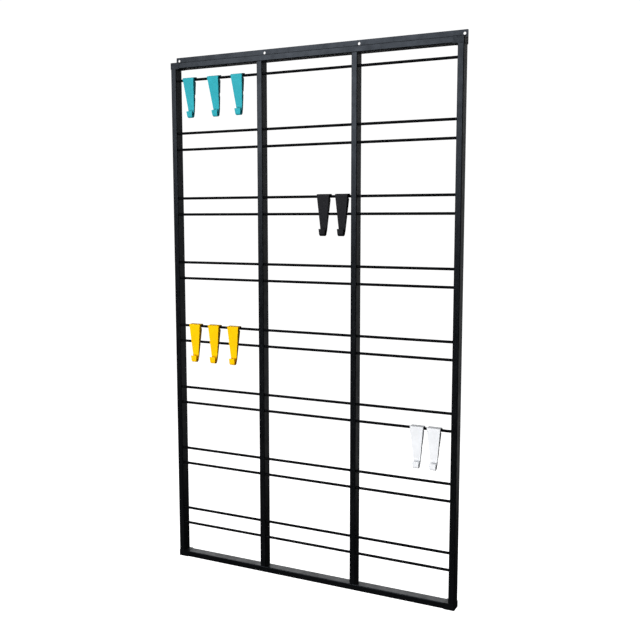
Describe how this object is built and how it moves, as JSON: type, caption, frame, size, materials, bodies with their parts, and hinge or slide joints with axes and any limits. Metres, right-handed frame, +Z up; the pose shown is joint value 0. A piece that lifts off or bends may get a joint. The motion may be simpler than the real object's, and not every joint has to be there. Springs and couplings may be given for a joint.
{
  "type": "wall rack",
  "caption": "Wall-hung steel rack of thin round rods strung in pairs between upright posts, with tapered plastic J-hooks that clip on and slide along the rods.",
  "frame": {"origin": "on the wall plane, half-way between the wall screws and at their height", "axes": "+X to the right as seen from the room, +Y into the wall, +Z up"},
  "size_m": [0.94, 0.0488, 1.6],
  "materials": {
    "frame_steel": "satin black powder coat with a fine texture",
    "rod_steel": "satin black powder coat",
    "connector_plastic": "fine-textured black nylon",
    "screw_steel": "black zinc plated",
    "hook_teal": "satin moulded plastic",
    "hook_black": "satin moulded plastic",
    "hook_yellow": "satin moulded plastic",
    "hook_white": "satin moulded plastic"
  },
  "bodies": {
    "rack": {"post_left": "frame_steel", "post_middle_left": "frame_steel", "post_middle_right": "frame_steel", "post_right": "frame_steel", "top_rail": "frame_steel", "bottom_rail": "frame_steel", "wall_strip": "frame_steel", "connector_top_left": "connector_plastic", "connector_top_right": "connector_plastic", "connector_bottom_left": "connector_plastic", "connector_bottom_right": "connector_plastic", "post_plugs": "connector_plastic", "rod_top": "rod_steel", "rod_1_upper": "rod_steel", "rod_1_lower": "rod_steel", "rod_2_upper": "rod_steel", "rod_2_lower": "rod_steel", "rod_3_upper": "rod_steel", "rod_3_lower": "rod_steel", "rod_4_upper": "rod_steel", "rod_4_lower": "rod_steel", "rod_5_upper": "rod_steel", "rod_5_lower": "rod_steel", "rod_6_upper": "rod_steel", "rod_6_lower": "rod_steel", "rod_7_upper": "rod_steel", "rod_7_lower": "rod_steel", "top_rail_screws": "screw_steel", "bottom_rail_screws": "screw_steel", "strip_screws": "screw_steel", "connector_screws": "screw_steel"},
    "hook_teal_left": {"hook_teal_left": "hook_teal"},
    "hook_teal_middle": {"hook_teal_middle": "hook_teal"},
    "hook_teal_right": {"hook_teal_right": "hook_teal"},
    "hook_black_left": {"hook_black_left": "hook_black"},
    "hook_black_right": {"hook_black_right": "hook_black"},
    "hook_yellow_left": {"hook_yellow_left": "hook_yellow"},
    "hook_yellow_middle": {"hook_yellow_middle": "hook_yellow"},
    "hook_yellow_right": {"hook_yellow_right": "hook_yellow"},
    "hook_white_left": {"hook_white_left": "hook_white"},
    "hook_white_right": {"hook_white_right": "hook_white"}
  },
  "joints": [
    {"name": "slide_teal_left", "type": "slide", "parent": "rack", "child": "hook_teal_left", "axis": [1, 0, 0], "range_m": [-0.0295, 0.02425]},
    {"name": "slide_teal_middle", "type": "slide", "parent": "rack", "child": "hook_teal_middle", "axis": [1, 0, 0], "range_m": [-0.02425, 0.0215]},
    {"name": "slide_teal_right", "type": "slide", "parent": "rack", "child": "hook_teal_right", "axis": [1, 0, 0], "range_m": [-0.0215, 0.04567]},
    {"name": "slide_black_left", "type": "slide", "parent": "rack", "child": "hook_black_left", "axis": [1, 0, 0], "range_m": [-0.18317, 0.009]},
    {"name": "slide_black_right", "type": "slide", "parent": "rack", "child": "hook_black_right", "axis": [1, 0, 0], "range_m": [-0.009, 0.006]},
    {"name": "slide_yellow_left", "type": "slide", "parent": "rack", "child": "hook_yellow_left", "axis": [1, 0, 0], "range_m": [-0.039, 0.01475]},
    {"name": "slide_yellow_middle", "type": "slide", "parent": "rack", "child": "hook_yellow_middle", "axis": [1, 0, 0], "range_m": [-0.01475, 0.01525]},
    {"name": "slide_yellow_right", "type": "slide", "parent": "rack", "child": "hook_yellow_right", "axis": [1, 0, 0], "range_m": [-0.01525, 0.06767]},
    {"name": "slide_white_left", "type": "slide", "parent": "rack", "child": "hook_white_left", "axis": [1, 0, 0], "range_m": [-0.16967, 0.005]},
    {"name": "slide_white_right", "type": "slide", "parent": "rack", "child": "hook_white_right", "axis": [1, 0, 0], "range_m": [-0.005, 0.0275]}
  ]
}
